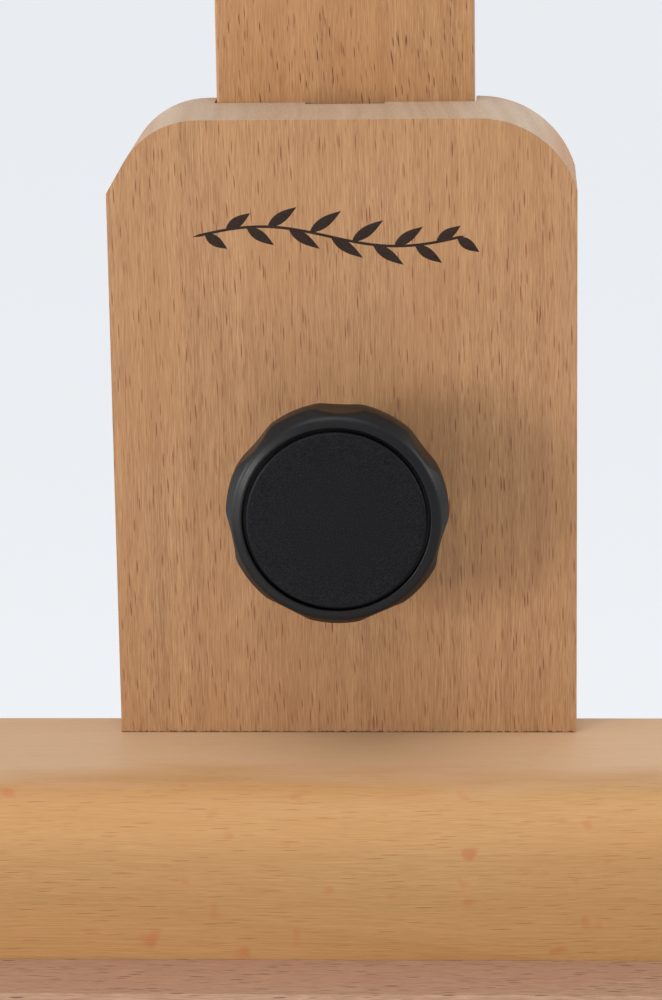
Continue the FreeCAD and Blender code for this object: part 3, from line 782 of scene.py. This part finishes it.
@dataclass
class LobedKnob:
    """Seven-lobed hand knob: a lathe-like body cut by seven upright cylinders round its rim.

    Sizes are millimetres. A cylinder of radius r whose near side lies valley_depth inside the rim has its
    axis at c = rim - valley_depth + r. At angle a from the valley its wall is at
    c cos(a) - sqrt(r^2 - (c sin(a))^2).
    """

    lobes: int = 7
    rim: float = 25.8
    hub: float = 12.0
    neck: float = 15.5
    groove: float = 21.6
    valley_depth: float = 1.25
    valley_radius: float = 28.0
    valley_turn: float = math.radians(88.0)
    blend: float = 0.16
    recess: float = 2.0
    head_start: float = 18.4
    capped: bool = True

    def outline(self, height: float) -> np.ndarray:
        """Section from the hub's seat round the rim to the middle of the front face."""
        start = self.head_start
        corners = [(0.0, 0.0, 0.0), (self.hub, 0.0, 0.6), (self.neck, start - 2.2, 2.5),
                   (self.neck + 4.0, start, 3.0), (self.rim - 0.6, start + 0.4, 1.6),
                   (self.rim, start + 5.5, 6.0), (self.rim - 0.1, height - 3.8, 3.2),
                   (self.rim - 1.9, height - 0.7, 2.2), (self.rim - 3.6, height, 1.0)]
        if self.capped:
            corners += [(self.groove, height, 0.35), (self.groove, height - self.recess, 0.15),
                        (0.0, height - self.recess, 0.0)]
        else:
            corners += [(self.groove - 3, height, 2.0), (self.groove - 7, height - 0.8, 2.0),
                        (0.0, height - 0.8, 0.0)]
        return divided(rounded_outline(corners, 6), 1.4)

    def scallop(self, radius: np.ndarray, height: np.ndarray,
                angle: np.ndarray) -> tuple[np.ndarray, np.ndarray]:
        """Smaller of the lathe-like radius and the cylinder's wall, with the edge between them blended."""
        pitch = 2 * math.pi / self.lobes
        away = (angle - self.valley_turn + pitch / 2) % pitch - pitch / 2
        centre = self.rim - self.valley_depth + self.valley_radius
        wall = centre * np.cos(away) - np.sqrt(self.valley_radius ** 2 - (centre * np.sin(away)) ** 2)
        return -self.blend * np.logaddexp(-radius / self.blend, -wall / self.blend), height

    def build(self, node: str, joint: str, material: Material) -> Piece:
        """Knob on its joint's axis, between the seat and front planes of its CAD solid.

        Args:
            node: the knob's CAD node.
            joint: joint that the knob turns on.
            material: finish of the knob.

        Returns:
            The piece.
        """
        turn = joint_named(joint)
        outward = np.array(turn["axis"], float)
        low, high = box_of(node)
        start = np.array(turn["pos_m"], float)
        axis = int(np.argmax(np.abs(outward)))
        start[axis] = low[axis] if outward[axis] > 0 else high[axis]
        height = (high - low)[axis] / MM
        piece = turned(f"{node}_lobed", self.outline(height), Axis(start, outward), 280, self.scallop)
        dress(piece, node, material)
        return piece


def inner_end(low: np.ndarray, high: np.ndarray, outward: np.ndarray) -> tuple[np.ndarray, float]:
    """Middle of a box's inner side, seen along outward, and the box's length that way in millimetres."""
    axis = int(np.argmax(np.abs(outward)))
    start = (low + high) / 2
    start[axis] = low[axis] if outward[axis] > 0 else high[axis]
    return start, (high - low)[axis] / MM


@dataclass
class ScrewClamp:
    """Hand knob with press-in cap, threaded stud and pressure shoe, which stands just off the wood."""

    name: str
    plastic: Material
    cap_plastic: Material
    steel: Material
    shoe: Material
    knob: LobedKnob = field(default_factory=LobedKnob)
    shoe_gap_mm: float = 0.06

    def build(self) -> None:
        """Make and dress every piece of the clamp."""
        joint = f"{self.name}_knob_turn"
        self.knob.build(f"{self.name}_knob", joint, self.plastic)
        outward = np.array(joint_named(joint)["axis"], float)
        self._cap(outward)
        self._stud(outward)
        shoe = eased_copy(f"{self.name}_shoe", 0.5, self.shoe)
        shoe.data.transform(Matrix.Translation(Vector(outward) * self.shoe_gap_mm * MM))

    def _cap(self, outward: np.ndarray) -> None:
        """Disc with a rounded rim and a crown of 0.15 mm."""
        node = f"{self.name}_cap"
        low, high = box_of(node)
        start, height = inner_end(low, high, outward)
        radius = float((high - low).max()) / 2 / MM
        corners = [(0.0, 0.0, 0.0), (radius, 0.0, 0.2), (radius, height - 0.15, 0.5),
                   (radius * 0.55, height - 0.03, 30.0), (0.0, height, 0.0)]
        piece = turned(f"{node}_disc", divided(rounded_outline(corners, 5), 1.6), Axis(start, outward), 128)
        dress(piece, node, self.cap_plastic)

    def _stud(self, outward: np.ndarray) -> None:
        """M8 stud as long as its CAD solid."""
        node = f"{self.name}_stud"
        start, length = inner_end(*box_of(node), outward)
        dress(Thread().build(f"{node}_thread", start, outward, length), node, self.steel)


# ---------------------------------------------------------------- sub-assemblies
@dataclass
class Base:
    """Two feet and two cross rails on rubber pads, with the bolts that the frame and stays turn on."""

    steel: Material
    rubber: Material
    boards: list[Board] = field(default_factory=lambda: [
        Board("left_foot", grain=Grain.DEEP, ease_mm=1.5), Board("right_foot", grain=Grain.DEEP, ease_mm=1.5),
        Board("base_front_rail", grain=Grain.ACROSS), Board("base_rear_rail", grain=Grain.ACROSS)])

    def build(self) -> None:
        """Make and dress every piece of the base."""
        build_boards(self.boards)
        socket_bolts("base_bolts", self.steel)
        for node in ("pivot_bolts", "pivot_nuts"):
            eased_copy(node, 0.5, self.steel)
        eased_copy("pivot_washers", 0.2, self.steel)
        for number, points in enumerate(separate_solids("foot_pads")):
            self._pad(number, points)

    def _pad(self, number: int, points: np.ndarray) -> None:
        """Round pad with a soft lower edge and two shallow grip rings in its flank."""
        low, high = points.min(axis=0), points.max(axis=0)
        radius, height = (high - low)[0] / 2 / MM, (high - low)[2] / MM
        corners = [(0.0, 0.0, 0.0), (radius - 2, 0.0, 1.2), (radius - 0.2, 2.4, 0.8),
                   (radius - 0.8, 3.6, 0.3), (radius, 4.8, 0.3), (radius - 0.6, 6.4, 0.3),
                   (radius, 7.6, 0.3), (radius, height, 0.3), (0.0, height, 0.0)]
        start = np.array([(low + high)[0] / 2, (low + high)[1] / 2, low[2]])
        upright = Axis(start, np.array([0.0, 0.0, 1.0]))
        piece = turned(f"foot_pad_{number}", rounded_outline(corners, 4), upright, 64)
        dress(piece, "foot_pads", self.rubber)


@dataclass
class TiltingFrame:
    """Uprights, rails and their bolts, and the studs for the tilt knobs."""

    steel: Material
    brass: Material
    plastic: Material
    boards: list[Board] = field(default_factory=lambda: [
        Board("left_upright", ease_mm=1.4), Board("right_upright", ease_mm=1.4),
        Board("lower_rail", grain=Grain.ACROSS), Board("middle_rail", grain=Grain.ACROSS),
        Board("upper_rail", grain=Grain.ACROSS)])

    def build(self) -> None:
        """Make and dress every piece of the frame."""
        build_boards(self.boards)
        socket_bolts("rail_bolts", self.steel)
        eased_copy("mast_lock_insert", 0.3, self.brass)
        for number, points in enumerate(separate_solids("tilt_studs")):
            low, high = points.min(axis=0), points.max(axis=0)
            outward = np.array([math.copysign(1.0, (low + high)[0]), 0.0, 0.0])
            start, length = inner_end(low, high, outward)
            rod = Thread().build(f"tilt_stud_{number}", start, outward, length)
            dress(rod, "tilt_studs", self.steel)
        for side in ("left", "right"):
            LobedKnob(capped=False).build(f"{side}_tilt_knob", f"{side}_tilt_knob_turn", self.plastic)


@dataclass
class Ornament:
    """Plain burned sprig on the block: a stem with alternate leaves, each a thin lens along a midrib.

    Sizes are millimetres. The stem waves by sag * sin(2 pi x) over its length. A leaf at an end of the stem
    is end_leaf times as long as one in the middle.
    """

    above_bar: float = 121.5
    aside: float = -3.0
    length: float = 64.0
    sag: float = 2.4
    leaves: int = 13
    leaf_length: float = 9.0
    leaf_width: float = 1.25
    leaf_tilt: float = math.radians(34.0)
    first_leaf: float = 0.6
    end_leaf: float = 0.65
    stem_width: float = 0.32
    thickness: float = 0.07

    def build(self) -> None:
        """Make the stem and leaves in one char-coloured material and lay them on the block."""
        char = MouldedPlastic("scorched_beech", colour="#1E1511", pale="#3A281E", roughness=0.8).material()
        low, high = box_of("clamp_block")
        middle = np.array([(low + high)[0] / 2 + self.aside * MM, low[1],
                           box_of("clamp_bar")[1][2] + self.above_bar * MM])
        even = np.linspace(0, 1, 40)
        stem = self._lens(even, self._stem, lambda s: np.full_like(s, self.stem_width), middle)
        self._lay(stem, "burned_sprig_stem", char)
        for number in range(self.leaves):
            share = (number + self.first_leaf) / self.leaves
            side = 1.0 if number % 2 else -1.0
            root = self._stem(np.array([share]))[0]
            tilt = self.leaf_tilt * side
            size = self.leaf_length * (self.end_leaf + (1 - self.end_leaf) * math.sin(math.pi * share))
            reach = np.array([math.cos(tilt), math.sin(tilt)]) * size
            leaf = self._lens(np.linspace(0, 1, 22), lambda s: root + s[:, None] * reach,
                              lambda s: self.leaf_width * np.sin(math.pi * s ** 0.8), middle)
            self._lay(leaf, f"burned_sprig_leaf_{number}", char)

    def _stem(self, share: np.ndarray) -> np.ndarray:
        """Points of the stem, from its left end to its right end."""
        across = (share - 0.5) * self.length
        return np.stack([across, self.sag * np.sin(2 * math.pi * share)], axis=-1)

    def _lens(self, share: np.ndarray, line: Callable, width: Callable, middle: np.ndarray) -> np.ndarray:
        """Rings of a flat ellipse carried along a line, as wide as the width function gives."""
        path = line(share)
        ahead = np.gradient(path, axis=0)
        ahead /= np.linalg.norm(ahead, axis=1, keepdims=True)
        side = np.stack([-ahead[:, 1], ahead[:, 0]], axis=1)
        turn = np.linspace(0, 2 * math.pi, 10, endpoint=False)
        reach = width(share)[:, None] * np.cos(turn)
        flat = path[:, None, :] + reach[..., None] * side[:, None, :]
        depth = np.broadcast_to(self.thickness * np.sin(turn), flat.shape[:2])
        return middle + np.stack([flat[..., 0], depth, flat[..., 1]], axis=-1) * MM

    def _lay(self, rings: np.ndarray, name: str, material: Material) -> None:
        """Close the rings and let the piece ride with the block."""
        dress(skin(name, rings), "clamp_block", material, stands_in=False)


def joint_shaded_beech() -> OiledBeech:
    """Block's beech with painted crevice shade in the crack where the bar's top meets it."""
    return replace(PLAIN_BEECH, joint_shade_m=box_of("clamp_bar")[1][2])


def dust_and_sheen_beech(ahead_mm: float = 31.0) -> OiledBeech:
    """Bar's beech, greyer with dust plus painted sheen from about the given distance ahead of the block."""
    return replace(BAR_BEECH, dust_and_sheen_from_m=box_of("clamp_block")[0][1] - ahead_mm * MM)


@dataclass
class CanvasClamp:
    """Block, bar and lip on the mast, with cheeks and plate behind, and the burned ornament."""

    brass: Material
    steel: Material
    boards: list[Board] = field(default_factory=lambda: [
        Board("clamp_block", joint_shaded_beech(), Grain.UP, 0.7),
        Board("clamp_bar", dust_and_sheen_beech(), Grain.ACROSS, 0.8),
        Board("clamp_lip", LIP_BEECH, Grain.ACROSS, 0.8), Board("left_clamp_cheek"),
        Board("right_clamp_cheek"), Board("clamp_rear_plate")])

    def build(self) -> None:
        """Make and dress every piece of the clamp's body."""
        build_boards(self.boards)
        Fastener("clamp_screws", self.brass).build()
        socket_bolts("clamp_rear_bolts", self.steel, 2.4)
        eased_copy("clamp_insert", 0.3, self.brass)
        Ornament().build()


@dataclass
class CanvasLedge:
    """Shelf and lip on the sliding carriage."""

    brass: Material
    steel: Material
    boards: list[Board] = field(default_factory=lambda: [
        Board("tray_shelf", grain=Grain.ACROSS), Board("tray_lip", BAR_BEECH, Grain.ACROSS),
        Board("tray_back_board", grain=Grain.ACROSS), Board("tray_rear_bar", grain=Grain.ACROSS),
        Board("left_tray_cheek"), Board("right_tray_cheek")])

    def build(self) -> None:
        """Make and dress every piece of the ledge."""
        build_boards(self.boards)
        Fastener("tray_screws", self.brass).build()
        socket_bolts("tray_bolts", self.steel)
        eased_copy("tray_inserts", 0.3, self.brass)


@dataclass
class RearStay:
    """Wooden stay with its slotted plate."""

    side: str
    steel: Material
    lean: float

    def build(self) -> None:
        """Make and dress every piece of the stay."""
        Board(f"{self.side}_stay", lean=self.lean, ease_mm=1.2).build()
        eased_copy(f"{self.side}_stay_plate", 0.4, self.steel)
        screws = frame["nodes"][f"{self.side}_stay_screws"]
        screws.data.materials.clear()
        screws.data.materials.append(self.steel)


# ---------------------------------------------------------------- studio
@dataclass(frozen=True)
class SoftLight:
    """Square area light: where it hangs, the point that it faces, its side in metres, power and colour."""

    name: str
    place: tuple[float, float, float]
    aim: tuple[float, float, float]
    side: float
    watts: float
    colour: tuple[float, float, float] = (1.0, 1.0, 1.0)

    def build(self) -> None:
        """Hang the light."""
        data = bpy.data.lights.new(self.name, "AREA")
        data.size = self.side
        data.energy = self.watts
        data.color = self.colour
        light = placed(self.name, data)
        light.location = self.place
        light.rotation_euler = (Vector(self.aim) - Vector(self.place)).to_track_quat("-Z", "Y").to_euler()


LIGHTS = (SoftLight("key", (-2.2, -2.3, 1.95), (0.0, -0.12, 1.5), 0.9, 47.0, (1.0, 0.97, 0.93)),
          SoftLight("top_front", (-0.3, -1.2, 4.3), (0.0, -0.15, 1.6), 2.0, 39.0, (1.0, 0.985, 0.97)),
          SoftLight("left_edge", (-1.9, -0.3, 2.0), (0.0, -0.15, 1.72), 0.7, 14.0),
          SoftLight("right_edge", (1.7, -0.1, 2.4), (0.0, -0.15, 1.72), 0.7, 12.0),
          SoftLight("back", (0.6, 2.8, 2.4), (0.0, 0.0, 1.2), 2.0, 10.0))


@dataclass
class Studio:
    """Camera, soft lights, pale room and floor.

    camera_offset runs from the block's front face at the bar's top, in metres. lens and sensor are in
    millimetres.
    """

    camera_offset: tuple[float, float, float] = (0.04009, -0.85632, 0.27652)
    yaw: float = math.radians(2.907)
    pitch: float = math.radians(14.302)
    roll: float = math.radians(-0.856)
    lens: float = 133.94
    sensor: float = 36.0
    room_colour: str = "#EEF1F4"
    room_strength: float = 0.80
    floor_reach: float = 30.0
    floor_colour: str = "#F2F4F6"
    glow_colour: str = "#F4F5F6"
    glow_strength: float = 0.22

    def build(self) -> None:
        """Make the camera, the lights, the world and the floor."""
        self._camera()
        for light in LIGHTS:
            light.build()
        self._room()
        self._floor()

    def _camera(self) -> None:
        """Camera in front of the clamp block, looking down and slightly to the left."""
        block_low, _ = box_of("clamp_block")
        bar_top = box_of("clamp_bar")[1][2]
        place = Vector((0.0, block_low[1], bar_top)) + Vector(self.camera_offset)
        ahead = Vector((-math.sin(self.yaw) * math.cos(self.pitch), math.cos(self.yaw) * math.cos(self.pitch),
                        -math.sin(self.pitch)))
        right = Vector((math.cos(self.yaw), math.sin(self.yaw), 0.0))
        up = right.cross(ahead)
        rolled_right = right * math.cos(self.roll) + up * math.sin(self.roll)
        rolled_up = up * math.cos(self.roll) - right * math.sin(self.roll)
        data = bpy.data.cameras.new("camera")
        data.sensor_fit = "VERTICAL"
        data.sensor_height = self.sensor
        data.lens = self.lens
        data.clip_end = 100.0
        camera = placed("camera", data)
        turn = Matrix((rolled_right, rolled_up, -ahead)).transposed()
        camera.matrix_world = Matrix.Translation(place) @ turn.to_4x4()
        bpy.context.scene.camera = camera

    def _room(self) -> None:
        """Even pale light from all round."""
        scene = bpy.context.scene
        scene.view_settings.view_transform = "Standard"
        world = bpy.data.worlds.new("room")
        world.use_nodes = True
        background = world.node_tree.nodes["Background"]
        background.inputs["Color"].default_value = linear(self.room_colour)
        background.inputs["Strength"].default_value = self.room_strength
        scene.world = world

    def _floor(self) -> None:
        """Wide matt floor of the room's tone, which glows a little so that it stays pale far off."""
        reach = self.floor_reach
        mesh = bpy.data.meshes.new("floor")
        mesh.from_pydata([(-reach, -reach, 0), (reach, -reach, 0), (reach, reach, 0), (-reach, reach, 0)], [],
                         [(0, 1, 2, 3)])
        floor = placed("floor", mesh)
        material, tree = blank_material("matt_floor")
        surface(tree, {"Base Color": linear(self.floor_colour), "Roughness": 0.9,
                       "Emission Color": linear(self.glow_colour), "Emission Strength": self.glow_strength})
        mesh.materials.append(material)


def stay_lean() -> float:
    """Radians that the stays lean forward, from the run and rise between their pivot and the tilt knobs."""
    foot = joint_named("left_stay_swing")["pos_m"]
    head = joint_named("left_tilt_knob_turn")["pos_m"]
    return math.atan2(foot[1] - head[1], head[2] - foot[2])


def main() -> None:
    """Build the sub-assemblies in order, then the studio."""
    logging.basicConfig(level=logging.INFO, format="%(name)s: %(message)s")
    steel, brass = ZINC_STEEL.material(), BRASS.material()
    plastic, cap = KNOB_PLASTIC.material(), CAP_PLASTIC.material()
    shoe, rubber = SHOE_PLASTIC.material(), PAD_RUBBER.material()
    Base(steel, rubber).build()
    TiltingFrame(steel, brass, plastic).build()
    Board("mast", MAST_BEECH, Grain.UP, 0.8).build()
    CanvasClamp(brass, steel).build()
    CanvasLedge(brass, steel).build()
    for name in ("top_clamp", "mast_lock", "left_tray", "right_tray"):
        ScrewClamp(name, plastic, cap, steel, shoe).build()
    for side in ("left", "right"):
        RearStay(side, steel, stay_lean()).build()
    Studio().build()


if __name__ == "__main__":
    main()
